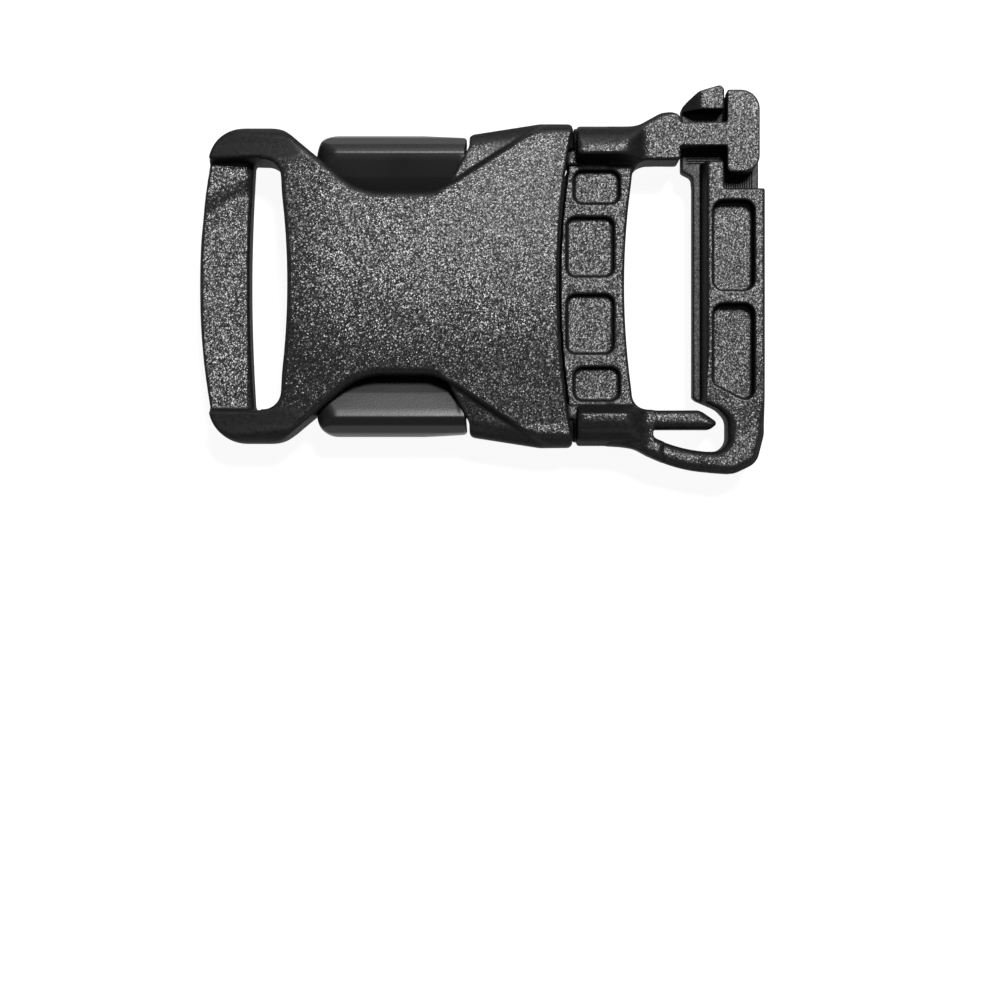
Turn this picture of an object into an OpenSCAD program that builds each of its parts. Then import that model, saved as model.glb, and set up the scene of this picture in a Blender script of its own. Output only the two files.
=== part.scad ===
// Side release buckle for flat webbing, moulded in black acetal.
// The socket lies flat on its underside. The plug is fastened in it, and its split
// web bar is a sprung gate that snaps under a T-shaped head.
// Millimetres. +X runs from the socket's web bar to the gate, +Z is up, and the
// origin is on the socket's flat underside, on the centreline.

/* [Webbing] */
// Width of the webbing
web_w = 25; // [20:1:32]
// Free play beside the webbing, each side
web_play = 0.45; // [0.3:0.05:0.8]

/* [Socket] */
// Thickness of the socket, plate to plate
socket_t = 11; // [10.6:0.1:12]
// Length of the socket from its web bar to the mouth corners
socket_l = 39.1; // [38.4:0.1:42]
// Thickness of the two plates
skin_t = 1.9; // [1.6:0.05:2]
// Thickness of the side walls behind the paddles
side_wall = 1.8; // [1.6:0.1:2]
// Width of the web bar along the buckle
bar_w = 5.3; // [4.8:0.05:5.8]
// Thickness of the web bar
bar_t = 4.2; // [3.6:0.1:4.8]
// Width of the web slot along the buckle
slot_w = 4.3; // [3.6:0.05:4.5]
// Width of each lug that carries the bar
lug_w = 3.6; // [3.2:0.1:4.2]
// Depth of the side windows, from the lugs' outer face
window_d = 7.1; // [6.4:0.1:7.4]
// Depth of the step between the plate and the shoulder
step_d = 0.9; // [0.5:0.1:1.1]
// How far the mouth edge is hollowed in its middle
mouth_bow = 1.6; // [0.8:0.1:1.8]

/* [Plug] */
// Thickness of the web plate
plate_t = 4; // [3.4:0.1:4.6]
// Thickness over the rails beside the mouth
rail_t = 10; // [9:0.1:10.4]
// Thickness of the arm, the gate and the web guide
frame_t = 5.6; // [5:0.1:6.2]
// Depth of the pockets in the web plate
pocket_d = 0.9; // [0.5:0.1:1.2]
// Width of the web opening along the buckle
opening_w = 7.3; // [6.8:0.1:8]
// Width of the stem that carries the T-head
stem_w = 2.5; // [2:0.1:3]
// Length of the T-head across the buckle
head_l = 8.6; // [7.8:0.1:9]
// Width of the T-head along the buckle
head_w = 3.4; // [3:0.1:3.6]
// Thickness of the stem and the T-head
head_t = 2.8; // [2.4:0.1:3]

/* [Prongs] */
// Width of the springy arm of each prong
arm_w = 2.3; // [1.8:0.1:2.5]
// Thickness of the prongs over their ridges
prong_t = 6.4; // [6:0.1:6.8]
// Radius of the round root that each prong turns on
root_r = 1.35; // [1.1:0.05:1.4]
// How far the catch shoulder stands out beyond the side wall's inner face
catch_d = 1.45; // [1:0.05:1.6]

/* [Gate] */
// Width of the gate's bar along the buckle
gate_w = 7.3; // [7:0.1:7.6]
// Depth of the two pockets in the gate
gate_pocket_d = 1.9; // [1:0.1:2.2]
// Width of the living hinge link
link_w = 2.2; // [1.8:0.1:2.4]
// Thickness of the living hinge link
link_t = 4.4; // [3.6:0.1:5]

/* [Play] */
// Gap between pieces that slide past each other
gap = 0.3; // [0.2:0.05:0.35]
// Gap around a prong's round root
root_gap = 0.1; // [0.05:0.01:0.1]
// Gap between the link and the gate
link_gap = 0.15; // [0.1:0.05:0.3]

/* [Hidden] */
black = "#303133";
satin = "#242527";
mid = socket_t / 2;
web_y = web_w / 2 + web_play;
lug_y = web_y + lug_w;
mouth_y = lug_y + 0.45;
shoulder_y = lug_y - 0.7;
cavity_y = shoulder_y - side_wall;
window_y = lug_y - window_d;
mouth_x = 9.4;
left_x = mouth_x - socket_l;
slot_l = left_x + bar_w;
slot_r = slot_l + slot_w;
shoulder_x = -1.2;
// The lug's slanted edge runs on as the window's end, from the lug's corner
slant = 0.84;
lug_x = slot_r - 1;
dip_x = lug_x + window_d / slant;
cavity_x = slot_r + 2.1;
deck = socket_t - skin_t;
plate_top = mid + plate_t / 2;
frame_top = mid + frame_t / 2;
frame_low = mid - frame_t / 2;
head_low = frame_top - head_t;
web_x = 14.8;
rail_x = mouth_x + 0.45;
gate_x = web_x + opening_w;
throat_x = gate_x + 0.48 * gate_w;
gate_r = gate_x + gate_w;
arm_x = gate_x - 1.5;
stem_y = web_y + 2.75;
head_r = gate_r - 0.55;
head_x = head_r - head_w;
head_y = stem_y + 0.3;
hook_r = head_x - gap;
root_x = 7.4;
root_y = cavity_y - root_r - 0.4;
insert_y = root_y - root_r - 1.2;
rim_y = cavity_y + catch_d;
nose_x = cavity_x + 0.5;
ridge_y = cavity_y - 0.3;
guide_y = -web_y - 2.05;
link_x = web_x + 2.5;
link_cut = gate_x + 1.8;
link_y = -web_y - 0.75 * gate_w;
neck_y = stem_y - stem_w / 2 - 1.55;
step_y = web_y - 2.9;

// The round at corner b between its neighbours a and c
function unit(v) = v / norm(v);
function round_at(a, b, c, r, n) =
    let (p = [b[0], b[1]],
         u = unit([a[0], a[1]] - p), v = unit([c[0], c[1]] - p),
         half = acos(max(-1, min(1, u * v))) / 2,
         o = p + unit(u + v) * r / sin(half),
         s = p + u * r / tan(half) - o,
         e = p + v * r / tan(half) - o,
         a0 = atan2(s[1], s[0]),
         d = atan2(e[1], e[0]) - a0,
         w = d > 180 ? d - 360 : d < -180 ? d + 360 : d)
    [for (i = [0:n]) o + r * [cos(a0 + w * i / n), sin(a0 + w * i / n)]];

// A closed outline from [x, y, radius] corners, each rounded in n steps
function outline(p, n = 5) =
    [for (i = [0:len(p) - 1])
        let (a = p[(i + len(p) - 1) % len(p)], b = p[i], c = p[(i + 1) % len(p)])
        each (b[2] > 0 ? round_at(a, b, c, b[2], n) : [[b[0], b[1]]])];

// A half outline with y > 0, run on by its mirror image
function mirrored(h) =
    concat(h, [for (i = [len(h) - 1:-1:0]) [h[i][0], -h[i][1], h[i][2]]]);

// A flat plate of an outline between two heights
module plate(p, z0, z1) {
    translate([0, 0, z0]) linear_extrude(z1 - z0) polygon(p);
}

// A section in Y and Z drawn out along X from x0 to x1
module along_x(section, x0, x1) {
    translate([x0, 0, 0]) rotate([90, 0, 90])
        linear_extrude(x1 - x0) polygon(section);
}

// A profile in X and Z drawn out along Y, y0 to y1
module along_y(profile, y0, y1) {
    translate([0, y1, 0]) rotate([90, 0, 0])
        linear_extrude(y1 - y0) polygon(profile);
}

// A profile above the middle plane, closed by its mirror image below it
function two_faced(h) =
    concat([for (q = h) [q[0], mid - q[1]]],
           [for (i = [len(h) - 1:-1:0]) [h[i][0], mid + h[i][1]]]);

// A block whose faces meet the top and the bottom in chamfers of c
module chamfered(x0, y0, x1, y1, z0, z1, c = 0.35) {
    intersection() {
        along_y([[x0 + c, z0], [x1 - c, z0], [x1, z0 + c], [x1, z1 - c],
            [x1 - c, z1], [x0 + c, z1], [x0, z1 - c], [x0, z0 + c]], y0, y1);
        along_x([[y0 + c, z0], [y1 - c, z0], [y1, z0 + c], [y1, z1 - c],
            [y1 - c, z1], [y0 + c, z1], [y0, z1 - c], [y0, z0 + c]], x0, x1);
    }
}

module both_sides() {
    children();
    mirror([0, 1, 0]) children();
}

module top_and_bottom() {
    children();
    translate([0, 0, socket_t]) mirror([0, 0, 1]) children();
}

// Edge of the mouth and of the web bar, bowed across the buckle
function mouth_at(y) = mouth_x - mouth_bow * (1 - pow(y / mouth_y, 2));
function bar_edge(y) = left_x + y * y / 145;

// Outline of the socket seen from above
function socket_outline() = outline(concat(
    mirrored([[mouth_x - 0.03, mouth_y - 0.12, 0.6],
              [mouth_x - 3.4, mouth_y, 3],
              [shoulder_x, shoulder_y, 1.3],
              [shoulder_x - 2.05, window_y, 1.7],
              [dip_x, window_y, 6.6],
              [lug_x, lug_y, 3],
              [left_x + 1.95, lug_y, 4],
              [bar_edge(12), 12, 0],
              [bar_edge(8.5), 8.5, 0],
              [bar_edge(5.5), 5.5, 0],
              [bar_edge(2), 2, 0]]),
    [for (y = [-15:3:15]) [mouth_at(y), y, 0]]), 5);

// Half thickness of the socket at x: full over the plates, thinner at the lugs
function socket_half(x) =
    let (u = min(1, (x - left_x) / 16)) 3.6 + (mid - 3.6) * sin(90 * u);

// Block from x0 to x1 along a line through the point q, turned by a about Z. Its side
// towards +Y is rounded in an elliptic section
module rounded_side(q, a, x0, x1, n = 8) {
    w = q[1] * cos(a) - q[0] * sin(a);
    rotate([0, 0, a]) along_x(two_faced(concat([[-50, mid + 0.1]],
        [for (i = [n:-1:0]) [w - 4.65 * (1 - cos(90 * i / n)),
            0.4 + (mid - 0.3) * sin(90 * i / n)]])), x0, x1);
}

// The outside of the socket as one block: its outline, its profile from the side, and
// its rounded sides, which follow the shoulders, the lugs and the lugs' corners
module socket_block() {
    lugs_x = lug_x + 5.6;
    intersection() {
        plate(socket_outline(), -1, socket_t + 1);
        along_y(two_faced(concat([[left_x - 0.1, 1.4], [left_x + 0.15, 2.5], [left_x + 0.6, 3.2]],
            [for (x = [left_x + 1.4:2.4:left_x + 16]) [x, socket_half(x)]],
            [[mouth_x - 0.6, mid], [mouth_x + 0.2, mid - 0.5]])), -mouth_y - 1, mouth_y + 1);
        union() {
            intersection_for (m = [0, 1]) mirror([0, m, 0]) intersection() {
                rounded_side([0, mouth_y + 0.03], 0, lugs_x, mouth_x + 1);
                union() {
                    rounded_side([shoulder_x, shoulder_y + 0.06], 9, -7, 40);
                    translate([lugs_x - 1, -30, -1]) cube([-3.8 - lugs_x, 60, socket_t + 2]);
                }
            }
            intersection_for (m = [0, 1]) mirror([0, m, 0]) intersection() {
                rounded_side([0, lug_y + 0.03], 0, left_x - 1, lugs_x + 0.4);
                rounded_side([left_x + 2.73, lug_y - 0.85], 48, -60, 30);
            }
        }
    }
}

// Cutter for the chamfer of c along the window's rim: its straight bottom and its
// slanted end, which overlap at the corner
module window_rim(c = 0.7, lap = 0.3) {
    low = socket_t - c - 0.1;
    section = [[window_y - c - 0.1, socket_t + 0.1], [window_y + 0.1, low],
        [window_y + 2, low], [window_y + 2, socket_t + 0.1]];
    along_x(section, dip_x - lap, shoulder_x - 2.6);
    translate([dip_x, window_y, 0]) rotate([0, 0, -atan(slant)]) translate([0, -window_y, 0])
        along_x(section, -window_d - 0.5, lap);
}

// Cutter that lowers the shoulder by step_d, beyond a line that slants from the
// window's corner to the mouth's corner
module shoulder_step() {
    x0 = shoulder_x - 2.2;
    y0 = window_y + 0.07;
    y1 = mouth_y + 1.2;
    translate([0, 0, socket_t - step_d]) linear_extrude(step_d + 1)
        polygon([[x0 - 1.2, y0], [x0, y0], [x0 + 1.2, y0 + 0.6],
            [x0 + 1.2 + (y1 - y0 - 0.6) / 0.773, y1], [x0 - 1.2, y1]]);
}

// Room for the webbing between the lugs, whose inner faces are drafted
module web_room() {
    plate(outline(concat(
        [[left_x - 2, -web_y, 0], [slot_r - 0.85, -web_y, 1.9]],
        [for (y = [-8:4:8]) [slot_r - y * y / 140, y, 0]],
        [[slot_r - 0.85, web_y, 1.9], [left_x - 2, web_y, 0]]), 5), -1, socket_t + 1);
    top = mid + bar_t / 2 - 0.9;
    along_x([[0.2 - web_y, top], [web_y - 0.2, top], [web_y + 0.5, socket_t + 0.1],
        [-web_y - 0.5, socket_t + 0.1]], left_x - 1, slot_r - 3);
}

// Web bar, lower than the lugs it runs between
module web_bar() {
    y1 = web_y + 0.7;
    z0 = mid - bar_t / 2 - 0.9;
    intersection() {
        plate(concat([for (y = [y1, 8, 4, 0, -4, -8, -y1]) [bar_edge(y) + 0.12, y]],
            [[slot_l + 0.45, -y1], [slot_l, -web_y + 1.5], [slot_l, web_y - 1.5],
             [slot_l + 0.45, y1]]), z0, z0 + bar_t);
        along_y([[left_x + 0.1, z0 + 1.6], [left_x + 0.5, z0 + 0.5], [left_x + 1.5, z0],
            [slot_l - 0.7, z0], [slot_l, z0 + 0.6], [slot_l + 0.5, z0 + 1],
            [slot_l + 0.5, z0 + bar_t - 1], [slot_l - 0.1, z0 + bar_t - 0.7],
            [slot_l - 0.9, z0 + bar_t], [left_x + 1.5, z0 + bar_t],
            [left_x + 0.5, z0 + bar_t - 0.5], [left_x - 0.1, z0 + bar_t - 1.6]], -y1, y1);
    }
}

module socket() {
    color(black) {
        difference() {
            socket_block();
            translate([0, 0, skin_t]) linear_extrude(socket_t - 2 * skin_t)
                polygon(outline([[cavity_x, -cavity_y, 2.2], [mouth_x + 2, -cavity_y, 0],
                    [mouth_x + 2, cavity_y, 0], [cavity_x, cavity_y, 2.2]], 6));
            web_room();
            top_and_bottom() both_sides() {
                shoulder_step();
                window_rim();
            }
        }
        web_bar();
    }
}

// Rounded pocket between two corners
module pocket(x0, y0, x1, y1, z, d, r = 0.9) {
    translate([0, 0, z - d]) linear_extrude(d + 1)
        polygon(outline([[x0, y0, r], [x1, y0, r], [x1, y1, r], [x0, y1, r]], 4));
}

// Edge of the web plate along the web opening
function web_edge(y) = web_x + y * y / 156;

// Web plate with its column of pockets on both faces
module web_plate() {
    difference() {
        plate(concat([[root_x + 0.8, web_y], [root_x + 0.8, insert_y - 0.3],
            [mouth_x - 3, insert_y - 0.3], [mouth_x - 3, 0.3 - insert_y],
            [root_x + 0.8, 0.3 - insert_y], [root_x + 0.8, -web_y]],
            [for (y = [-web_y, -8, -4, 0, 4, 8, web_y]) [web_edge(y), y]]),
            mid - plate_t / 2, plate_top);
        top_and_bottom() both_sides() {
            pocket(mouth_x - 0.6, 0.95, web_x - 1.1, 7.1, plate_top, pocket_d);
            pocket(mouth_x + 0.15, 8.55, web_x - 0.5, web_y - 0.95, plate_top, pocket_d);
        }
    }
}

// Rail beside the mouth: a hump with a drafted inner wall and a rounded outside
module rail() {
    half = rail_t / 2;
    section = [[web_y - 0.6, 1], [web_y - 0.45, half - 3], [web_y + 0.35, half - 0.3],
        [web_y + 0.6, half], [web_y + 1.35, half - 0.15], [web_y + 2.3, half - 1],
        [web_y + 3.1, half - 2.2], [web_y + 3.55, half - 3.5], [web_y + 3.7, 1]];
    intersection() {
        along_x(two_faced(section), rail_x, web_x + 2.2);
        along_y(two_faced([[rail_x, half - 0.7], [rail_x + 0.5, half],
            [web_x + 0.4, half], [web_x + 1.6, frame_t / 2 + 0.4], [web_x + 2.6, frame_t / 2 - 0.3]]),
            web_y - 1, web_y + 5);
    }
}

// Frame of the plug beyond the rails, swelling out towards the stem
module upper_arm() {
    intersection() {
        plate(outline([[web_x - 1.6, web_y + 3.2, 0], [web_x - 1.6, web_y - 0.5, 0],
            [arm_x - 0.9, web_y - 0.5, 0], [arm_x, web_y + 0.5, 0.5],
            [arm_x, stem_y + 2, 0.7], [arm_x - 0.9, web_y + 5.05, 0.8],
            [web_x + 3.9, web_y + 5.05, 2], [web_x + 0.9, web_y + 3.3, 4]], 4),
            frame_low, frame_top);
        chamfered(web_x - 3, web_y - 3, arm_x + 0.03, web_y + 5.1, frame_low, frame_top);
    }
}

// Stem and T-head, in the upper half of the thickness only
module head() {
    y0 = head_y - head_l / 2;
    y1 = head_y + head_l / 2;
    translate([0, stem_y, 0])
        chamfered(arm_x - 1, -stem_w / 2, head_x + 1, stem_w / 2, head_low, frame_top, 0.25);
    intersection() {
        plate(outline([[head_x, y0, 0.5], [head_r, y0, 1.6], [head_r, y1, 2],
            [head_x, y1, 0.5]], 6), head_low, frame_top);
        chamfered(head_x, y0, head_r, y1, head_low, frame_top);
    }
}

// Middle line of the link between the plug and the gate
function link_mid(x) = link_y + 3.5 * pow((link_cut + 0.5 - x) / 10, 2);

// Lower corner of the plug with the pointed guide that keeps the web off the link
module web_guide() {
    x = link_x;
    plate(outline([[web_x - 1.6, -web_y + 0.5, 0], [web_x - 1.6, -lug_y, 0],
        [web_x - 0.4, -lug_y - 0.15, 0],
        [web_x + 1.2, link_mid(web_x + 1.2) - link_w / 2, 0],
        [x, link_mid(x) - link_w / 2, 0], [x, link_mid(x) + link_w / 2, 0],
        [x + 0.25, guide_y - 0.2, 0], [x + 0.7, guide_y, 0],
        [link_cut - 0.25, guide_y, 0.4], [link_cut + 0.55, guide_y + 0.85, 0.3],
        [link_cut - 1.6, -web_y, 0.5], [web_x, -web_y, 0]], 3), frame_low + 0.2, frame_top - 0.2);
}

// Block inside the socket that steadies the plug and carries the prongs' roots
module insert() {
    plate(outline([[mouth_x - 5, -insert_y, 0.8], [mouth_x - 2, -insert_y, 0],
        [mouth_x - 2, insert_y, 0], [mouth_x - 5, insert_y, 0.8]], 3), skin_t + gap, deck - gap);
    both_sides() translate([root_x + 0.25, insert_y - 0.5, mid - prong_t / 2])
        cube([mouth_x - mouth_bow - root_x + 0.25, root_y - insert_y, prong_t]);
}

// Tenon that fills the gap between the mouth and the rail, below their edges
module tenon() {
    plate(outline([[root_x + root_r + 0.25, web_y - 0.5, 0], [rail_x + 0.5, web_y - 0.5, 0],
        [rail_x + 0.5, lug_y - 0.65, 0.3], [mouth_x + 0.1, lug_y - 0.65, 0.3],
        [mouth_x + 0.1, cavity_y, 0], [root_x + root_r + 0.25, cavity_y - gap, 0]], 3),
        mid - 2.4, mid + 2.4);
}

// Clear opening for the webbing between the plate and the gate
module web_opening() {
    plate(outline(concat([for (y = [9.5, 6, 2, -2, -6, -9.5]) [web_edge(y), y, 0]],
        [[web_edge(web_y) - 0.1, -web_y, 1.1], [gate_x + 4, -web_y, 0],
         [gate_x + 4, -web_y + 1, 0], [arm_x + 3, web_y, 0],
         [web_edge(web_y) - 0.1, web_y, 1.1]]), 4), -1, socket_t + 1);
}

module plug() {
    color(black) difference() {
        union() {
            web_plate();
            both_sides() {
                rail();
                tenon();
            }
            upper_arm();
            head();
            web_guide();
            insert();
        }
        web_opening();
        both_sides() translate([root_x, root_y, -1])
            cylinder(r = root_r + root_gap, h = socket_t + 2, $fn = 48);
    }
}

// Thin strip that bends as the gate's living hinge
module link() {
    x1 = link_cut - link_gap / 2;
    xs = [for (i = [0:6]) link_x + (x1 - link_x) * i / 6];
    color(black) plate(concat(
        [for (x = xs) [x, link_mid(x) - link_w / 2]],
        [for (i = [6:-1:0]) [xs[i], link_mid(xs[i]) + link_w / 2]]),
        mid - link_t / 2, mid + link_t / 2);
}

// End of the side wall, which slants with the window and meets the paddle's shoulder
function wall_end(y) = shoulder_x - 2.05 * (shoulder_y - y) / (shoulder_y - window_y);

// Prong on the left: round root, springy arm and paddle with a ridge
module prong() {
    half = prong_t / 2;
    color(satin) {
        translate([root_x, root_y, mid - half + 0.2])
            cylinder(r = root_r, h = prong_t - 0.4, $fn = 48);
        translate([0, 0, mid - half + 0.3]) linear_extrude(prong_t - 0.6)
            polygon([[root_x, root_y - arm_w / 2], [root_x, root_y + arm_w / 2],
                [shoulder_x - 1.2, root_y + arm_w / 2], [shoulder_x - 1.2, root_y - arm_w / 2]]);
        intersection() {
            translate([0, 0, mid - half]) linear_extrude(prong_t)
                polygon(outline([[shoulder_x + 1.6, root_y - arm_w / 2, 0],
                    [shoulder_x + 1.6, root_y + arm_w / 2, 0],
                    [wall_end(ridge_y) - gap, root_y + arm_w / 2, 0],
                    [wall_end(rim_y) - gap, rim_y, 0.4], [shoulder_x - 5, rim_y + 0.3, 0],
                    [nose_x + 1.1, rim_y + 0.3, 2.6], [nose_x, cavity_y - 1.5, 1],
                    [nose_x + 0.3, window_y - 1.2, 1.2], [shoulder_x - 2.2, window_y - 1.2, 2]], 5));
            along_x(two_faced([[window_y - 2, 1.1], [window_y, 1.25], [window_y + 1.5, 2],
                [ridge_y - 0.6, half - 0.15], [ridge_y, half], [ridge_y + 0.7, half - 0.2],
                [ridge_y + 1.35, half - 0.95], [ridge_y + 1.8, half - 2.1], [rim_y + 0.4, 0.6]]),
                nose_x - 1, shoulder_x + 2);
            along_y(two_faced([[nose_x - 0.1, 0.9], [nose_x + 0.35, 1.9], [nose_x + 1.2, half - 0.5],
                [nose_x + 2.2, half], [shoulder_x + 2, half]]), window_y - 3, rim_y + 1);
        }
    }
}

module prong_left() { prong(); }
module prong_right() { mirror([0, 1, 0]) prong(); }

// Gate's lower corner, from the link's cut round to the bar, and the throat inside it
gate_cut = link_cut + link_gap / 2;
gate_corner = [
    [gate_cut, link_mid(link_cut) - link_w / 2, 0],
    [gate_r - 0.44 * gate_w, link_y - link_w / 2 - 0.15, 2],
    [gate_r - 0.75, link_y - 0.1, 2],
    [gate_r, -web_y - 2.6, 2.4]];
gate_throat = [
    [gate_x + 0.4, -web_y + 1, 0],
    [gate_x + 2.5, -web_y + 0.1, 2.2],
    [throat_x, -web_y - 1, 1.6],
    [throat_x, -lug_y - 0.7, 1.5],
    [gate_cut, link_mid(link_cut) + link_w / 2, 0]];

// Wedge-shaped nose above the stem: its top face and the outline it falls to
module gate_nose() {
    y0 = stem_y + stem_w / 2 + 1.3;
    intersection() {
        plate(outline([[arm_x + gap, y0, 0], [hook_r, y0, 0.2], [hook_r, y0 + 2.1, 0.5],
            [hook_r - 0.4, y0 + 2.55, 0.4], [hook_r - 2.6, y0 + 1.9, 0],
            [arm_x + 0.9, y0 + 1.1, 0], [arm_x + gap, y0 + 0.5, 0.3]], 3),
            frame_low, frame_top);
        along_y([[arm_x, frame_low - 1], [arm_x, head_low - 0.2], [hook_r - 2.7, frame_top - 0.2],
            [hook_r - 2.3, frame_top], [hook_r - 0.3, frame_top], [hook_r, frame_top - 0.3],
            [hook_r + 1, frame_low - 1]], y0 - 1, y0 + 4);
    }
}

// Lower layer of the gate: the ledge, and the tongue under the stem and the T-head
module gate_layer(top) {
    plate(outline(concat(gate_corner, [[gate_r, step_y, 0],
        [gate_r - 0.4, step_y, 0], [gate_r - 0.4, web_y + 3.2, 1],
        [head_x + 0.8, stem_y + 1.9, 0], [head_x + 0.8, stem_y + 4.3, 0.3],
        [hook_r - 1.5, stem_y + 4.3, 0], [arm_x + gap, stem_y + 3, 0],
        [arm_x + gap, web_y - 0.8, 0.4], [gate_x - 0.1, web_y - 1.35, 0.7],
        [gate_x, web_y - 2.5, 0.4],
        [gate_x, -web_y + 1.3, 0.4]], gate_throat), 4), frame_low, top);
}

module gate() {
    color(black) difference() {
        union() {
            gate_layer(head_low - gap);
            // Upper layer of the bar, set back from the ledge, and the neck
            intersection() {
                plate(outline(concat(gate_corner, [[gate_r, step_y, 0.2],
                    [hook_r, step_y, 0.3], [hook_r, neck_y, 0.3], [gate_x + 0.7, neck_y, 0.3],
                    [gate_x + 0.7, -web_y + 0.9, 0]],
                    [for (q = gate_throat) if (q[0] > gate_x + 1 || q[0] == gate_cut) q]), 4),
                    frame_low, frame_top);
                along_y([[gate_x + 0.7, frame_low - 1], [gate_r, frame_low - 1],
                    [gate_r, frame_top - 0.35], [gate_r - 0.35, frame_top],
                    [gate_x + 1.2, frame_top], [gate_x + 0.77, head_low - gap - 0.3]],
                    -web_y - 9, web_y + 1);
            }
            gate_nose();
        }
        pocket(gate_x + 1.9, -0.55, gate_r - 1.1, 8.8, frame_top, gate_pocket_d, 1.1);
        translate([0, 0, frame_top - gate_pocket_d]) linear_extrude(gate_pocket_d + 1)
            polygon(outline([[gate_x + 1.9, -1.95, 1.1], [gate_x + 1.9, -web_y + 2.7, 0.8],
                [gate_r - 2.3, -web_y + 1.1, 0.8], [gate_r - 1.1, -web_y + 1.1, 1],
                [gate_r - 1.1, -1.95, 1.1]], 4));
    }
}

socket();
plug();
link();
prong_left();
prong_right();
gate();
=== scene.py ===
import bpy
import numpy as np
from mathutils import Matrix


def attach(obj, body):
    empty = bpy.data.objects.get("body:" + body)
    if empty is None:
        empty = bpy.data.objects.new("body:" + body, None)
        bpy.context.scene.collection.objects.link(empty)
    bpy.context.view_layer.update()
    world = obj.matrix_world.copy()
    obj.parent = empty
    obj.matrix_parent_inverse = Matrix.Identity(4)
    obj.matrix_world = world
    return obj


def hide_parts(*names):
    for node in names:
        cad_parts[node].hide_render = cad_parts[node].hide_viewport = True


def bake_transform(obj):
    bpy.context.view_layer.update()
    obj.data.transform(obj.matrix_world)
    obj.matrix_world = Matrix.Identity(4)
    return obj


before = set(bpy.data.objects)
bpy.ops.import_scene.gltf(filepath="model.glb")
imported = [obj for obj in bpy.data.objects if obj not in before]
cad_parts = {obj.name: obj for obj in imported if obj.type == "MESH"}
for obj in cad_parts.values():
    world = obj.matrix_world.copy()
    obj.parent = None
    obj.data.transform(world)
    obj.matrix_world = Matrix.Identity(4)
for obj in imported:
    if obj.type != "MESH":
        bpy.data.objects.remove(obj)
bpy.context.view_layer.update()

# SOCKET
# The hollow female half: two plates joined by side walls, with a bar for the webbing
# between two lugs. Injection moulded in one piece of black acetal, and the flat faces
# carry a moulded grain.
MM = 0.001
mid = 5.5
left_x, slot_left, slot_right, mouth_x = -29.7, -24.4, -20.1, 9.4
web_y, lug_y, mouth_y, shoulder_y = 12.95, 16.55, 17.0, 15.85
cavity_x, cavity_y, window_y = -18.0, 14.05, 9.45
lug_x, dip_x, shoulder_x = -21.1, -12.65, -1.2
skin_t, step_d = 1.9, 0.7
crown_bow, crown_slope, mouth_fall = 0.007, 0.1, 0.0013
trough_d, trough_w, grain_scale, grain_tilt = 0.35, 1.4, 9500, 0.42


def mouth_edge(y):
    """Where the socket's curved mouth ends."""
    return mouth_x + 0.1 - 1.7 * (1 - (y / mouth_y) ** 2)


def round_corner(a, b, c, r, turn=6.0):
    """Points of the round of radius r at corner b, between its neighbours a and c."""
    p = np.array(b[:2], float)
    u, v = np.array(a[:2]) - p, np.array(c[:2]) - p
    u, v = u / np.hypot(*u), v / np.hypot(*v)
    half = np.arccos(np.clip(u @ v, -1, 1)) / 2
    o = p + (u + v) / np.hypot(*(u + v)) * r / np.sin(half)
    s, e = p + u * r / np.tan(half) - o, p + v * r / np.tan(half) - o
    start = np.arctan2(s[1], s[0])
    sweep = (np.arctan2(e[1], e[0]) - start + np.pi) % (2 * np.pi) - np.pi
    n = max(2, int(np.ceil(abs(np.degrees(sweep)) / turn)))
    return [o + r * np.array([np.cos(start + sweep * i / n), np.sin(start + sweep * i / n)])
            for i in range(n + 1)]


def outline(corners):
    """A closed outline from [u, v] or [u, v, radius] corners."""
    points = []
    for i, b in enumerate(corners):
        if len(b) > 2:
            points += round_corner(corners[i - 1], b, corners[(i + 1) % len(corners)], b[2])
        else:
            points.append(np.array(b, float))
    return np.array(points)


def mirrored(half):
    """A half outline with v > 0, run on by its mirror image."""
    return half + [[q[0], -q[1]] + list(q[2:]) for q in reversed(half)]


def within(points, u, v):
    """Distance of (u, v) from a closed outline, negative inside it."""
    u, v = np.broadcast_arrays(u, v)
    near, inside = np.full(u.shape, 1e9), np.zeros(u.shape, bool)
    for (au, av), (bu, bv) in zip(points, np.roll(points, -1, axis=0)):
        du, dv, pu, pv = bu - au, bv - av, u - au, v - av
        t = np.clip((pu * du + pv * dv) / (du * du + dv * dv + 1e-12), 0, 1)
        near = np.minimum(near, (pu - t * du) ** 2 + (pv - t * dv) ** 2)
        if av != bv:
            inside ^= ((av > v) != (bv > v)) & (pu < du * pv / dv)
    return np.where(inside, -1.0, 1.0) * np.sqrt(near)


def both(a, b, r=0.0):
    """What lies in a and in b, with the edge between them rounded by r."""
    return (np.minimum(-r, np.maximum(a, b))
            + np.hypot(np.maximum(a + r, 0), np.maximum(b + r, 0)))


def either(a, b, r=0.0):
    """What lies in a or in b, with the inner corner between them filled by r."""
    return -both(-a, -b, r)


def without(a, b, r=0.0):
    """What lies in a and not in b, with the edge rounded by r."""
    return both(a, -b, r)


def brick(u, v, low, high, r):
    """Distance in plan from a rectangle with corners rounded by r."""
    a = np.abs(u - (low[0] + high[0]) / 2) - (high[0] - low[0]) / 2
    b = np.abs(v - (low[1] + high[1]) / 2) - (high[1] - low[1]) / 2
    return both(a, b, r)


def slopes(field, p, reach):
    """Gradient of a field at the points p, measured over reach to each side."""
    out = np.empty_like(p)
    for axis in range(3):
        step = np.zeros(3)
        step[axis] = reach
        out[:, axis] = (field(*(p + step).T) - field(*(p - step).T)) / (2 * reach)
    return out


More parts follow.
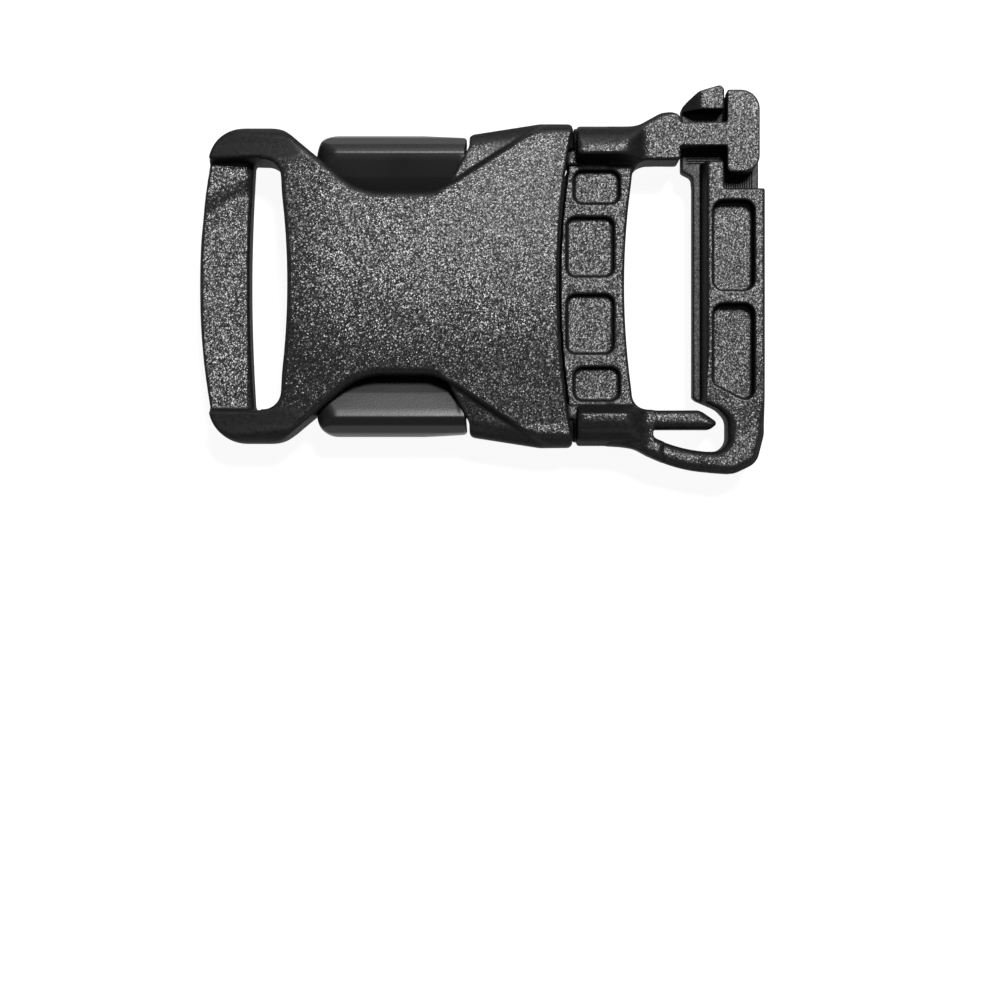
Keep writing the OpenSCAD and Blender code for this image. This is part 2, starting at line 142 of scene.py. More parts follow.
def settle(field, p, times):
    """Points near a field's surface, moved onto it."""
    for _ in range(times):
        g = slopes(field, p, 0.02)
        move = field(*p.T) / np.maximum((g * g).sum(1), 0.2)
        p = p - np.clip(move, -0.15, 0.15)[:, None] * g
    return p


def moulded(name, field, low, high, step, most=190000, grain=None):
    """A closed skin on a field's surface, as an object with shading normals taken from
    the field and a point attribute that says where the moulded grain is."""
    step = step
    low, high = np.array(low, float) - 2 * step, np.array(high, float) + 2 * step
    axes = [a + step * np.arange(int((b - a) / step) + 2) for a, b in zip(low, high)]
    shape = tuple(len(a) for a in axes)
    g = np.array(np.broadcast_to(field(axes[0][:, None, None], axes[1][None, :, None],
                                       axes[2][None, None, :]), shape))
    solid = g < 0
    corners = np.zeros([n - 1 for n in shape], np.int8)
    for i in (0, 1):
        for j in (0, 1):
            for k in (0, 1):
                corners += solid[i:shape[0] - 1 + i, j:shape[1] - 1 + j, k:shape[2] - 1 + k]
    cells = np.argwhere((corners > 0) & (corners < 8))
    number = np.full(corners.shape, -1)
    number[tuple(cells.T)] = np.arange(len(cells))
    total, hits = np.zeros((len(cells), 3)), np.zeros(len(cells))
    for axis in range(3):
        for i in (0, 1):
            for j in (0, 1):
                a = cells.copy()
                a[:, (axis + 1) % 3] += i
                a[:, (axis + 2) % 3] += j
                b = a.copy()
                b[:, axis] += 1
                ga, gb = g[tuple(a.T)], g[tuple(b.T)]
                cut = (ga < 0) != (gb < 0)
                p = a.astype(float)
                p[:, axis] += np.where(cut, ga / np.where(cut, ga - gb, 1), 0)
                total[cut] += p[cut]
                hits[cut] += 1
    points = low + total / hits[:, None] * step
    faces = []
    for axis in range(3):
        start = [slice(None)] * 3
        end = [slice(None)] * 3
        start[axis], end[axis] = slice(None, -1), slice(1, None)
        inner = solid[tuple(start)]
        edge = np.argwhere(inner != solid[tuple(end)])
        ring = []
        for i, j in ((0, 0), (1, 0), (1, 1), (0, 1)):
            c = edge.copy()
            c[:, (axis + 1) % 3] -= i
            c[:, (axis + 2) % 3] -= j
            ring.append(number[tuple(c.T)])
        ring = np.stack(ring, 1)
        out = inner[tuple(edge.T)]
        ring[~out] = ring[~out][:, ::-1]
        faces.append(ring)
    faces = np.concatenate(faces)
    points = settle(field, points, 2)
    mesh = bpy.data.meshes.new(name)
    mesh.from_pydata((points * MM).tolist(), [], faces.tolist())
    piece = bpy.data.objects.new(name, mesh)
    bpy.context.scene.collection.objects.link(piece)
    if len(faces) * 2 > most:
        thin = piece.modifiers.new("thin", "DECIMATE")
        thin.ratio = most / (len(faces) * 2)
        mesh = bpy.data.meshes.new_from_object(
            piece.evaluated_get(bpy.context.evaluated_depsgraph_get()))
        piece.modifiers.clear()
        piece.data = mesh
        mesh.name = name
        points = np.empty(len(mesh.vertices) * 3)
        mesh.vertices.foreach_get("co", points)
        points = settle(field, points.reshape(-1, 3) / MM, 1)
        mesh.vertices.foreach_set("co", (points * MM).ravel())
    normals = slopes(field, points, 0.05)
    normals /= np.maximum(np.linalg.norm(normals, axis=1), 1e-9)[:, None]
    mesh.update()
    mesh.polygons.foreach_set("use_smooth", np.ones(len(mesh.polygons), bool))
    mesh.normals_split_custom_set_from_vertices(normals.tolist())
    flat = np.clip((np.abs(normals[:, 2]) - 0.62) / 0.25, 0, 1)
    if grain is not None:
        flat = flat * grain(*points.T)
    mesh.attributes.new("grain", "FLOAT", "POINT").data.foreach_set("value", flat)
    return piece


def rounded_side(reach, h):
    """Distance from a side with an elliptic section, reach beyond its line in plan."""
    u, v = np.maximum(reach + 4.65, 0) / 4.65, np.maximum(h - 0.4, 0) / 5.2
    k = np.hypot(u, v)
    d = (k - 1) * k / np.maximum(np.hypot(u / 4.65, v / 5.2), 1e-6)
    return np.where(k < 1e-3, -4.65, d) - 0.8 * np.maximum(1 - 3 * u, 0) ** 2


socket_plan = outline(mirrored(
    [[mouth_x + 0.08, mouth_y - 0.05, 0.55], [mouth_x - 3.4, mouth_y, 3],
     [shoulder_x - 0.12, shoulder_y, 0.7], [shoulder_x - 0.15, 14.3, 1.5],
     [-3.6, window_y + 0.7, 0.3],
     [-5.2, window_y, 4],
     [dip_x, window_y, 6.6], [lug_x, lug_y, 3], [left_x + 1.95, lug_y, 4]]
    + [[left_x + y * y / 145, y] for y in np.arange(12, 0, -0.8)])
    + [[mouth_edge(y), y] for y in np.arange(-15.75, 15.8, 0.75)])
side_plan = outline(mirrored(
    [[mouth_x + 6, mouth_y + 0.03], [mouth_x - 3.4, mouth_y + 0.03, 3],
     [shoulder_x, shoulder_y + 0.06], [-10, lug_y - 2], [lug_x + 3, lug_y + 0.03],
     [left_x + 2, lug_y + 0.03, 4.2], [left_x - 1, 10.5], [left_x - 3, 1]]))
# The plate stays full thickness inside this line, and the shoulder lies a step lower
step_plan = outline(
    [[-40, -30], [-40, 30], [-6, 30], [-6, window_y + 0.9], [-3.2, window_y + 0.9, 1.2],
     [9.9, 18.93], [13, 18.93], [13, -30]])
web_room_plan = outline(
    [[left_x - 2, -web_y], [slot_right - 0.85, -web_y, 1.9]]
    + [[slot_right - y * y / 140, y] for y in np.arange(-9, 9.1, 1)]
    + [[slot_right - 0.85, web_y, 1.9], [left_x - 2, web_y]])
bar_plan = outline(
    [[left_x + 0.12 + y * y / 145, y] for y in np.arange(14, -14.1, -1)]
    + [[slot_left + y * y / 340, y] for y in np.arange(-14, 14.1, 1)])
bar_section = outline(
    [[left_x - 0.1, 2.5, 1.5], [slot_left + 0.7, 2.5, 1], [slot_left + 0.7, 5.9, 0.4],
     [slot_left - 0.25, 6.45, 0.5], [left_x - 0.1, 6.75, 0.7]])


def socket_field(x, y, z):
    s, h = np.abs(y), np.abs(z - mid)
    # The two plates are crowned across the buckle, and fall a little towards the mouth
    crown = (crown_bow * np.minimum(s, 9) ** 2 + crown_slope * np.clip(s - 9, 0, 5.5)
             + mouth_fall * np.clip(x + 10, 0, 20) ** 2)
    rise = np.clip((within(step_plan, x, s) + 0.35) / 0.7, 0, 1)
    step = ((step_d + 0.08 * np.clip(s - 11.5, 0, 4)) * rise ** 2 * (3 - 2 * rise)
            * np.clip((h - 1.5) / 2, 0, 1))
    rim = 0.3 + 0.5 * np.clip((x + 21) / 2, 0, 1) * np.clip((-3.4 - x) / 1.5, 0, 1)
    top = 3.6 + 1.9 * np.sin(np.pi / 2 * np.clip((x - left_x) / 16, 0, 1))
    body = both(within(socket_plan, x, s), h + step + crown - top, rim)
    body = both(body, left_x - x + 0.35 * np.maximum(h - 1.4, 0), 0.6)
    body = both(body, rounded_side(within(side_plan, x, s), h + step), 0.3)
    lip = both(brick(x, s, (8, 14.1), (mouth_x + 0.02, 16.1), 0.15), h - 3.2, 0.3)
    body = either(body, lip, 0.3)
    low = 0.3 * np.clip(x + 4, 0, 1) + 0.3 * np.clip(s - 10, 0, 1) + np.clip(s - 13.5, 0, 0.5)
    room = both(both(s - cavity_y, cavity_x - x, 2.2), h - mid + skin_t + low, 0.4)
    body = without(body, room, 0.2)
    body = without(body, within(web_room_plan, x, y), 0.45)
    draft = np.maximum(np.maximum(s - 12.75 - 0.159 * (z - 6.7), x - slot_right + 3), 6.7 - z)
    body = without(body, draft, 0.3)
    # One end of the bar dips in a shallow slanting trough beside the lug
    dip = trough_d * np.exp(-((y - 6.8 - 0.55 * (x - left_x)) / trough_w) ** 2)
    bar = both(within(bar_plan, x, y), within(bar_section, x, z + np.where(z > 4, dip, 0)), 0.3)
    bar = both(bar, s - 13.6)
    return either(body, bar, 0.5)


def grained_plastic():
    """Black acetal. Where the grain attribute is 1 it has a fine moulded grain, and
    elsewhere it is a smooth satin from the polished tool."""
    material = bpy.data.materials.new("grained black acetal")
    material.use_nodes = True
    nodes, links = material.node_tree.nodes, material.node_tree.links
    shader = nodes["Principled BSDF"]
    shader.inputs["IOR"].default_value = 1.42
    place = nodes.new("ShaderNodeTexCoord")
    where = nodes.new("ShaderNodeAttribute")
    where.attribute_name = "grain"
    pebble = nodes.new("ShaderNodeTexVoronoi")
    pebble.inputs["Scale"].default_value = grain_scale
    fine = nodes.new("ShaderNodeTexNoise")
    fine.inputs["Scale"].default_value = 2600
    fine.inputs["Detail"].default_value = 4
    drift = nodes.new("ShaderNodeTexNoise")
    drift.inputs["Scale"].default_value = 90
    drift.inputs["Detail"].default_value = 5
    for texture in (pebble, fine, drift):
        links.new(place.outputs["Object"], texture.inputs["Vector"])
    # Each pebble of the grain is a small facet with a tilt of its own
    surface = nodes.new("ShaderNodeNewGeometry")
    centred = nodes.new("ShaderNodeVectorMath")
    centred.operation = "SUBTRACT"
    centred.inputs[1].default_value = (0.5, 0.5, 0.5)
    links.new(pebble.outputs["Color"], centred.inputs[0])
    depth = nodes.new("ShaderNodeMath")
    depth.operation = "MULTIPLY"
    depth.inputs[1].default_value = grain_tilt
    links.new(where.outputs["Fac"], depth.inputs[0])
    tilt = nodes.new("ShaderNodeVectorMath")
    tilt.operation = "SCALE"
    links.new(centred.outputs["Vector"], tilt.inputs[0])
    links.new(depth.outputs["Value"], tilt.inputs["Scale"])
    tilted = nodes.new("ShaderNodeVectorMath")
    tilted.operation = "ADD"
    links.new(surface.outputs["Normal"], tilted.inputs[0])
    links.new(tilt.outputs["Vector"], tilted.inputs[1])
    facet = nodes.new("ShaderNodeVectorMath")
    facet.operation = "NORMALIZE"
    links.new(tilted.outputs["Vector"], facet.inputs[0])
    ripple = nodes.new("ShaderNodeBump")
    ripple.inputs["Strength"].default_value = 0.35
    ripple.inputs["Distance"].default_value = 0.00003
    links.new(fine.outputs["Fac"], ripple.inputs["Height"])
    links.new(facet.outputs["Vector"], ripple.inputs["Normal"])
    links.new(ripple.outputs["Normal"], shader.inputs["Normal"])
    rough = nodes.new("ShaderNodeMapRange")
    rough.inputs["To Min"].default_value = 0.62
    rough.inputs["To Max"].default_value = 0.29
    links.new(where.outputs["Fac"], rough.inputs["Value"])
    gloss = nodes.new("ShaderNodeMapRange")
    gloss.inputs["To Min"].default_value = 0.09
    gloss.inputs["To Max"].default_value = 0.5
    links.new(where.outputs["Fac"], gloss.inputs["Value"])
    links.new(gloss.outputs["Result"], shader.inputs["Specular IOR Level"])
    vary = nodes.new("ShaderNodeMath")
    vary.operation = "MULTIPLY_ADD"
    vary.inputs[1].default_value = 0.08
    links.new(drift.outputs["Fac"], vary.inputs[0])
    links.new(rough.outputs["Result"], vary.inputs[2])
    links.new(vary.outputs["Value"], shader.inputs["Roughness"])
    tone = nodes.new("ShaderNodeValToRGB")
    tone.color_ramp.elements[0].position = 0.35
    tone.color_ramp.elements[0].color = (0.004, 0.0041, 0.0044, 1)
    tone.color_ramp.elements[1].position = 0.7
    tone.color_ramp.elements[1].color = (0.009, 0.0092, 0.0098, 1)
    links.new(fine.outputs["Fac"], tone.inputs["Fac"])
    links.new(tone.outputs["Color"], shader.inputs["Base Color"])
    return material


black = grained_plastic()


def socket_grain(x, y, z):
    """The lugs and the shoulders have less grain than the plate between them."""
    lug = np.clip((np.abs(y) - 12.4) / 0.8, 0, 1) * np.clip((-18 - x) / 1.5, 0, 1)
    shoulder = np.clip(within(step_plan, x, np.abs(y)) / 0.4, 0, 1) * np.clip(x / 2.5, 0, 1)
    return (1 - 0.7 * lug) * (1 - 0.5 * shoulder)


socket = moulded("socket_shell", socket_field, (left_x, -mouth_y, 0),
                 (mouth_x, mouth_y, 11), 0.2, grain=socket_grain)
socket.data.materials.append(black)
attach(socket, "buckle")
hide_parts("socket")

# PLUG
# The male half that the prongs, the stem with its T-head and the pointed web guide
# grow from. It is moulded with the prongs and the gate, in the same black acetal, and
# its web plate is cored out in a column of four shallow pockets on both faces.
web_x, rail_x, arm_x, gate_x = 14.8, 9.85, 20.6, 22.1
stem_y, stem_w, head_x, head_right = 15.7, 2.5, 25.45, 28.85
frame_low, frame_top, head_low = 2.7, 8.3, 5.5
root_x, root_y, root_r, insert_y = 7.4, 12.3, 1.35, 9.75
link_x, link_y, link_w, link_cut, guide_y = 17.3, -18.425, 2.2, 23.9, -15.0
plate_half, groove_w, groove_d = 2, 0.4, 0.9

rail_section = outline(
    [[12.3, -20], [12.48, 2, 1], [13.42, 5.02, 0.35], [14.2, 4.9, 1.2], [15.2, 4.35, 2],
     [16.2, 3.1, 2], [16.68, 1.2, 0.8], [16.68, -20]])
rail_profile = outline(
    [[rail_x, -20], [rail_x, 5, 0.7], [web_x + 0.1, 5, 1.8], [web_x + 2.2, 2.7, 1.8],
     [web_x + 3, 2.5], [web_x + 3, -20]])
arm_plan = outline(
    [[web_x - 1.6, web_y + 3.4], [web_x - 1.6, web_y - 0.5], [arm_x, web_y - 0.45, 0.7],
     [arm_x, stem_y + 2, 0.7], [arm_x - 0.9, web_y + 5.05, 0.8],
     [web_x + 3.9, web_y + 5.05, 2], [web_x + 0.9, web_y + 3.4, 4]])
head_plan = outline(
    [[head_x, 11.7, 0.5], [head_right, 11.7, 1.8], [head_right, 20.3, 2],
     [head_x, 20.3, 0.25]])


def link_middle(x):
    return link_y + 3.5 * ((link_cut + 0.5 - x) / 10) ** 2


guide_plan = outline(
    [[web_x - 1.6, 0.5 - web_y], [web_x - 1.6, -lug_y], [web_x - 0.4, -lug_y - 0.15, 3],
     [web_x + 1.2, link_middle(web_x + 1.2) - link_w / 2, 3],
     [link_x, link_middle(link_x) - link_w / 2], [19, link_middle(19) - link_w / 2],
     [19, link_middle(19) + link_w / 2], [18, link_middle(18) + link_w / 2],
     [link_x, -15.65, 0.3],
     [link_x, guide_y, 0.32], [link_cut - 0.15, guide_y, 0.3],
     [link_cut + 0.72, guide_y + 0.65, 0.35], [link_cut - 1.4, -web_y + 0.08, 0.6],
     [web_x, -web_y + 0.08]])
tenon_plan = outline(
    [[8.7, 12.45], [10.35, 12.45], [10.35, 16.3, 0.3], [9.5, 16.3, 0.2], [9.5, 14.02],
     [8.7, 13.95]])
opening_plan = outline(
    [[web_x + y * y / 156, y] for y in np.arange(10.5, -10.6, -1.5)]
    + [[web_x + 0.97, -web_y, 1.7], [gate_x + 4, -web_y], [gate_x + 4, 1 - web_y],
       [arm_x + 3, web_y], [web_x + 0.97, web_y, 1.7]])


def slab(plan, z, low, high, r):
    """A plan drawn up between two heights, with its edges rounded by r."""
    return both(plan, np.abs(z - (low + high) / 2) - (high - low) / 2, r)


def plug_field(x, y, z):
    s, h = np.abs(y), np.abs(z - mid)
    edge = x - web_x - y * y / 156 - 0.6
    plate = both(np.maximum(edge, np.where(s < insert_y - 0.3, 6.4 - x, 8.2 - x)), s - 13.2)
    # A groove keeps the plate clear of the socket's mouth
    groove = np.clip((mouth_edge(y) + groove_w - x) / 0.2, 0, 1)
    plate = both(plate, h + groove_d * groove - plate_half, 0.35)
    for low, high in (((8.8, 0.95), (13.7, 7.1)), ((9.55, 8.55), (14.3, 12.0))):
        plate = without(plate, both(brick(x, s, low, high, 0.95), 1.1 - h, 0.35), 0.28)
    rail = both(within(rail_section, s, h), within(rail_profile, x, h), 0.35)
    body = either(plate, rail, 0.3)
    body = np.minimum(body, both(within(tenon_plan, x, s), h - 2.4, 0.3))
    arm = within(arm_plan, x, y)
    stem = brick(x, y, (arm_x - 1, stem_y - stem_w / 2), (head_x + 1, stem_y + stem_w / 2), 0.1)
    top = either(either(arm, stem, 0.2), within(head_plan, x, y), 0.2)
    soft = 0.16 + 0.55 * np.clip((arm_x - 0.3 - x) / 1.2, 0, 1)
    frame_part = np.minimum(slab(top, z, head_low, frame_top, soft),
                            slab(arm, z, frame_low, head_low + 2, soft))
    guide = both(within(guide_plan, x, y), h - 2.6, 0.9)
    body = either(either(body, frame_part, 0.4), guide, 0.4)
    insert = slab(brick(x, s, (4.4, -2), (7.4, insert_y), 0.6), z, 2.2, 8.8, 0.3)
    root = slab(brick(x, s, (root_x + 0.25, 9.25), (8.3, 11.8), 0.1), z,
                mid - 3.2, mid + 3.2, 0.2)
    body = either(either(body, insert), root)
    body = without(body, within(opening_plan, x, y), 0.35)
    return without(body, np.hypot(x - root_x, s - root_y) - root_r - 0.1, 0.1)


def plug_grain(x, y, z):
    """The plug has a finer grain than the socket, and is smooth where it enters it."""
    return 0.93 * np.where(np.abs(y) < 14.6, np.clip((x - mouth_edge(y) - 0.2) / 0.25, 0, 1), 1)


plug = moulded("plug_frame", plug_field, (4.4, -20, 0.5), (head_right, 20.3, 10.5), 0.16,
               grain=plug_grain)
plug.data.materials.append(black)
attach(plug, "buckle")
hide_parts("plug")

# PRONGS
# Two springy arms of the plug. Each ends in a paddle that fills a side window and is
# pressed to open the buckle. The tool is polished here, so the acetal is a smooth satin.
rim_y, nose_x, arm_w = 15.5, -17.5, 2.3
paddle_plan = outline(
    [[0.4, root_y - arm_w / 2], [0.4, root_y + arm_w / 2], [-1.75, root_y + arm_w / 2],
     [-1.58, rim_y, 0.4], [shoulder_x - 5, rim_y + 0.3], [nose_x + 0.6, rim_y + 0.3, 2.3],
     [nose_x, cavity_y - 1.5, 1.5], [nose_x + 0.3, window_y - 1.2, 1.2],
     [shoulder_x - 2.2, window_y - 1.2, 2]])
paddle_section = outline(
    [[7.4, -20], [7.4, 1.3], [9.7, 1.75, 2.5], [11.2, 2.4, 2], [13.72, 3.26, 0.35],
     [14.6, 2.7, 0.9], [15.4, 1.75, 1], [15.86, 0.6, 0.3], [15.88, -20]])
paddle_profile = outline(
    [[nose_x - 0.08, -20], [nose_x - 0.05, 0.9, 0.6], [nose_x + 0.7, 2.5, 1.2],
     [nose_x + 2.2, 3.26, 1.2], [0.8, 3.26], [0.8, -20]])


def prong_field(x, y, z):
    h = np.abs(z - mid)
    root = both(np.hypot(x - root_x, y - root_y) - root_r, h - 3.0, 0.15)
    arm = both(brick(x, y, (-2.4, root_y - arm_w / 2), (root_x, root_y + arm_w / 2), 0.1),
               h - 2.9, 0.3)
    paddle = both(both(within(paddle_plan, x, y), within(paddle_section, y, h), 0.25),
                  within(paddle_profile, x, h), 0.3)
    return either(either(root, arm), paddle, 0.4)


def satin_plastic():
    """Black acetal from a polished tool, with a faint stipple on its pressed faces."""
    material = bpy.data.materials.new("satin black acetal")
    material.use_nodes = True
    nodes, links = material.node_tree.nodes, material.node_tree.links
    shader = nodes["Principled BSDF"]
    shader.inputs["IOR"].default_value = 1.42
    place = nodes.new("ShaderNodeTexCoord")
    stipple = nodes.new("ShaderNodeTexNoise")
    stipple.inputs["Scale"].default_value = 5200
    stipple.inputs["Detail"].default_value = 2
    drift = nodes.new("ShaderNodeTexNoise")
    drift.inputs["Scale"].default_value = 160
    drift.inputs["Detail"].default_value = 5
    for texture in (stipple, drift):
        links.new(place.outputs["Object"], texture.inputs["Vector"])
    bump = nodes.new("ShaderNodeBump")
    bump.inputs["Strength"].default_value = 0.6
    bump.inputs["Distance"].default_value = 0.000016
    links.new(stipple.outputs["Fac"], bump.inputs["Height"])
    links.new(bump.outputs["Normal"], shader.inputs["Normal"])
    rough = nodes.new("ShaderNodeMapRange")
    rough.inputs["To Min"].default_value = 0.3
    rough.inputs["To Max"].default_value = 0.46
    links.new(drift.outputs["Fac"], rough.inputs["Value"])
    links.new(rough.outputs["Result"], shader.inputs["Roughness"])
    tone = nodes.new("ShaderNodeValToRGB")
    tone.color_ramp.elements[0].color = (0.0035, 0.0036, 0.0039, 1)
    tone.color_ramp.elements[1].color = (0.0065, 0.0067, 0.0072, 1)
    links.new(drift.outputs["Fac"], tone.inputs["Fac"])
    links.new(tone.outputs["Color"], shader.inputs["Base Color"])
    return material


satin = satin_plastic()
for side, body in ((1, "prong_left"), (-1, "prong_right")):
    ends = sorted((side * 8.1, side * 16))
    prong = moulded(body + "_paddle", lambda x, y, z: prong_field(x, side * y, z),
                    (nose_x, ends[0], mid - 3.3), (root_x + root_r, ends[1], mid + 3.3), 0.15)
    prong.data.materials.append(satin)
    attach(prong, body)
    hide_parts(body)

# GATE AND LINK
# The split web bar. A thin curved strip, moulded with the plug, carries it as a living
# hinge, and its wedge-shaped nose snaps under the T-head. Two deep pockets core it out.
gate_right, hook_right, gap = 29.4, 25.15, 0.3
gate_cut, throat_x = link_cut + 0.075, 25.604
gate_corner = [
    [gate_cut, link_middle(link_cut) - link_w / 2],
    [gate_right - 3.2, link_y - link_w / 2 - 0.15, 2], [gate_right - 0.75, link_y - 0.1, 2],
    [gate_right, -web_y - 2.6, 2.4]]
gate_throat = [
    [gate_x + 0.4, 1 - web_y], [gate_x + 2.5, 0.1 - web_y, 2.2],
    [throat_x, -web_y - 1, 1.6], [throat_x, -lug_y - 0.7, 1.5],
    [gate_cut, link_middle(link_cut) + link_w / 2]]
layer_plan = outline(
    gate_corner + [
        [gate_right, 10.05], [gate_right - 0.4, 10.05], [gate_right - 0.4, web_y + 3.2, 1],
        [head_x + 0.8, stem_y + 1.9], [head_x + 0.8, stem_y + 4.3, 0.3],
        [hook_right - 1.5, stem_y + 4.3], [arm_x + gap, stem_y + 3],
        [arm_x + gap, web_y - 0.8, 0.4], [gate_x - 0.1, web_y - 1.35, 0.7],
        [gate_x, web_y - 2.5, 0.4], [gate_x, 1.3 - web_y, 0.4]] + gate_throat)
link_xs = np.arange(17, gate_cut - 0.3, 0.4)
bar_top_plan = outline(
    gate_corner + [
        [gate_right, 10.05, 0.2], [hook_right, 10.05, 0.3], [hook_right, 12.9, 0.3],
        [gate_x + 0.7, 12.9, 0.3], [gate_x + 0.7, 0.9 - web_y]] + gate_throat[1:]
    + [[x, link_middle(x) + link_w / 2 - 0.02] for x in link_xs[::-1]]
    + [[x, link_middle(x) - link_w / 2 + 0.02] for x in link_xs])
bar_top_profile = outline(
    [[gate_x + 0.7, 0], [gate_right, 0], [gate_right, frame_top, 0.4],
     [gate_x + 1.25, frame_top, 0.4], [gate_x + 0.77, 4.9]])
nose_y = stem_y + stem_w / 2 + 1.3
nose_plan = outline(
    [[arm_x + gap, nose_y], [hook_right, nose_y, 0.2], [hook_right, nose_y + 2.15, 0.3],
     [hook_right - 0.4, nose_y + 2.55, 0.4], [hook_right - 2.6, nose_y + 1.9, 2],
     [arm_x + 0.9, nose_y + 1.1, 1], [arm_x + gap, nose_y + 0.5, 0.3]])
nose_profile = outline(
    [[arm_x, 1], [arm_x, head_low - 0.2], [hook_right - 2.6, frame_top, 0.8],
     [hook_right, frame_top, 0.3], [hook_right + 1, 1]])
pocket_low = frame_top - 1.9
low_pocket = outline(
    [[gate_x + 1.9, -1.95, 1.1], [gate_x + 1.9, 2.7 - web_y, 0.8],
     [gate_right - 2.3, 1.1 - web_y, 0.8], [gate_right - 1.1, 1.1 - web_y, 1],
     [gate_right - 1.1, -1.95, 1.1]])


def gate_field(x, y, z):
    h = np.abs(z - mid)
    layer = slab(within(layer_plan, x, y), z, frame_low, head_low - gap, 0.2)
    # The link is a little thinner in its middle than where it leaves the plug
    waist = 2.8 - 0.4 * np.clip((24.6 - x) / 2.2, 0, 1) + 0.18 * np.clip((20 - x) / 2, 0, 1)
    high = np.where(y < -15, waist, 2.8)
    bar = both(within(bar_top_plan, x, y), h + 0.05 * np.clip(-7 - y, 0, 8) - high,
               0.28 + 0.67 * np.clip((-11.9 - y) / 2.4, 0, 1))
    bar = both(bar, np.where(y < -13.5, -9, within(bar_top_profile, x, z)))
    nose = both(slab(within(nose_plan, x, y), z, frame_low, frame_top, 0.2),
                within(nose_profile, x, z))
    body = np.minimum(np.minimum(layer, bar), nose)
    upper_pocket = brick(x, y, (gate_x + 1.9, -0.55), (gate_right - 1.1, 8.8), 1.1)
    for pocket in (upper_pocket, within(low_pocket, x, y)):
        body = without(body, both(pocket, pocket_low - z, 0.4), 0.25)
    return body


def gate_grain(x, y, z):
    """The gate has the plug's grain, and less on its lower layer where that lies open."""
    return np.where((z < 5.8) & (z > 4) & (y > -12.5), 0.6, 0.93)


gate = moulded("gate_and_link", gate_field, (17, -20, frame_low),
               (gate_right, stem_y + 5.2, frame_top), 0.13, grain=gate_grain)
gate.data.materials.append(black)
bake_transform(gate)
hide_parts("gate", "link")

# FINE RIBS
# The tongue under the T-head and the floor of the slot beside the stem are finely
# ribbed, a mark of the cutter left in the gate's half of the tool.
rib_pitch, rib_w = 0.24, 0.15
rib_tree = bpy.data.node_groups.new("fine ribs", "GeometryNodeTree")
rib_tree.interface.new_socket("Ribs", in_out="OUTPUT", socket_type="NodeSocketGeometry")
for label in ("Across", "Length", "Pitch", "Width"):
    rib_tree.interface.new_socket(label, in_out="INPUT", socket_type="NodeSocketFloat")
rib_tree.interface.new_socket("Material", in_out="INPUT", socket_type="NodeSocketMaterial")
nodes, links = rib_tree.nodes, rib_tree.links
given, result = nodes.new("NodeGroupInput"), nodes.new("NodeGroupOutput")
count = nodes.new("ShaderNodeMath")
count.operation = "DIVIDE"
links.new(given.outputs["Across"], count.inputs[0])
links.new(given.outputs["Pitch"], count.inputs[1])
start = nodes.new("ShaderNodeMath")
start.operation = "MULTIPLY"
start.inputs[1].default_value = -0.5
links.new(given.outputs["Across"], start.inputs[0])
first, stride = nodes.new("ShaderNodeCombineXYZ"), nodes.new("ShaderNodeCombineXYZ")
links.new(start.outputs["Value"], first.inputs["X"])
links.new(given.outputs["Pitch"], stride.inputs["X"])
row = nodes.new("GeometryNodeMeshLine")
links.new(count.outputs["Value"], row.inputs["Count"])
links.new(first.outputs["Vector"], row.inputs["Start Location"])
links.new(stride.outputs["Vector"], row.inputs["Offset"])
radius = nodes.new("ShaderNodeMath")
radius.operation = "MULTIPLY"
radius.inputs[1].default_value = 0.5
links.new(given.outputs["Width"], radius.inputs[0])
rib = nodes.new("GeometryNodeMeshCylinder")
rib.inputs["Vertices"].default_value = 12
links.new(radius.outputs["Value"], rib.inputs["Radius"])
links.new(given.outputs["Length"], rib.inputs["Depth"])
laid = nodes.new("GeometryNodeInstanceOnPoints")
laid.inputs["Rotation"].default_value = (np.pi / 2, 0, 0)
links.new(row.outputs["Mesh"], laid.inputs["Points"])
links.new(rib.outputs["Mesh"], laid.inputs["Instance"])
whole = nodes.new("GeometryNodeRealizeInstances")
links.new(laid.outputs["Instances"], whole.inputs["Geometry"])
coated = nodes.new("GeometryNodeSetMaterial")
links.new(whole.outputs["Geometry"], coated.inputs["Geometry"])
links.new(given.outputs["Material"], coated.inputs["Material"])
links.new(coated.outputs["Geometry"], result.inputs["Ribs"])
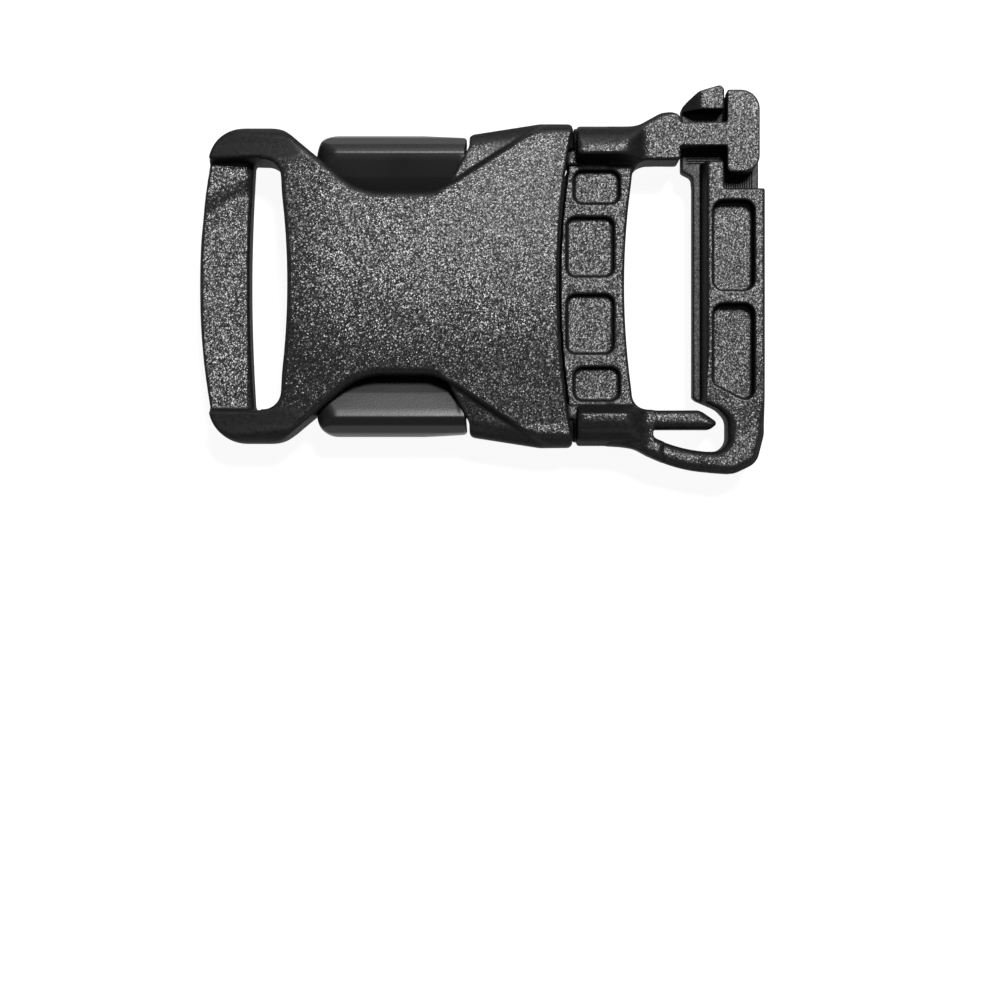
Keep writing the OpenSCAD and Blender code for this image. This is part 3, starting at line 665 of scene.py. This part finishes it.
for name, middle, across, length, turn in (
        ("tongue_ribs", (27.2, 11.6), 3.1, 2.8, 0), ("slot_ribs", (23.3, 13.75), 1.5, 3.7, 90)):
    ribs = bpy.data.objects.new(name, bpy.data.meshes.new(name))
    bpy.context.scene.collection.objects.link(ribs)
    fill = ribs.modifiers.new("fine ribs", "NODES")
    fill.node_group = rib_tree
    values = {"Across": across * MM, "Length": length * MM, "Pitch": rib_pitch * MM,
              "Width": rib_w * MM, "Material": black}
    for entry in rib_tree.interface.items_tree:
        if entry.name in values:
            fill[entry.identifier] = values[entry.name]
    mesh = bpy.data.meshes.new_from_object(
        ribs.evaluated_get(bpy.context.evaluated_depsgraph_get()))
    ribs.modifiers.clear()
    ribs.data = mesh
    mesh.transform(Matrix.Translation((middle[0] * MM, middle[1] * MM, (head_low - gap) * MM))
                   @ Matrix.Rotation(np.radians(turn), 4, "Z"))
    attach(ribs, "gate")

# FLOOR, LIGHT AND CAMERA
# The buckle lies on its flat underside on a white sweep, under a large soft light from
# its upper right, and the camera looks straight down on it.
floor_mesh = bpy.data.meshes.new("floor")
floor_mesh.from_pydata([(-3, -3, 0), (3, -3, 0), (3, 3, 0), (-3, 3, 0)], [], [(0, 1, 2, 3)])
floor = bpy.data.objects.new("floor", floor_mesh)
bpy.context.scene.collection.objects.link(floor)
paper = bpy.data.materials.new("white paper")
paper.use_nodes = True
for label, value in (("Base Color", (0.12, 0.12, 0.12, 1)), ("Roughness", 0.9),
                     ("Emission Color", (1, 1, 1, 1)), ("Emission Strength", 0.93)):
    paper.node_tree.nodes["Principled BSDF"].inputs[label].default_value = value
floor_mesh.materials.append(paper)

world = bpy.data.worlds.new("studio")
bpy.context.scene.world = world
world.use_nodes = True
world.node_tree.nodes["Background"].inputs["Color"].default_value = (1, 1, 1, 1)
world.node_tree.nodes["Background"].inputs["Strength"].default_value = 0.14


def soft_light(name, place, aim, size, power):
    """A square soft light at place that shines towards aim, in millimetres."""
    lamp = bpy.data.lights.new(name, "AREA")
    lamp.size, lamp.energy = size * MM, power
    light = bpy.data.objects.new(name, lamp)
    bpy.context.scene.collection.objects.link(light)
    light.location = [c * MM for c in place]
    turn = np.array(place, float) - np.array(aim, float)
    flat = np.hypot(turn[0], turn[1])
    light.rotation_euler = (np.arctan2(flat, turn[2]), 0, np.arctan2(turn[1], turn[0]) + np.pi / 2)
    return light


soft_light("key", (160, 330, 900), (0, 0, 5), 150, 15.2)
soft_light("window", (60, 520, 360), (0, 0, 5), 300, 0.9)

camera_data = bpy.data.cameras.new("camera")
camera_data.sensor_width = 36
camera_data.lens = 36 * 260 / 105
camera = bpy.data.objects.new("camera", camera_data)
bpy.context.scene.collection.objects.link(camera)
camera.location = (1.843 * MM, -22.365 * MM, 265.5 * MM)
bpy.context.scene.camera = camera
bpy.context.scene.view_settings.view_transform = "Standard"
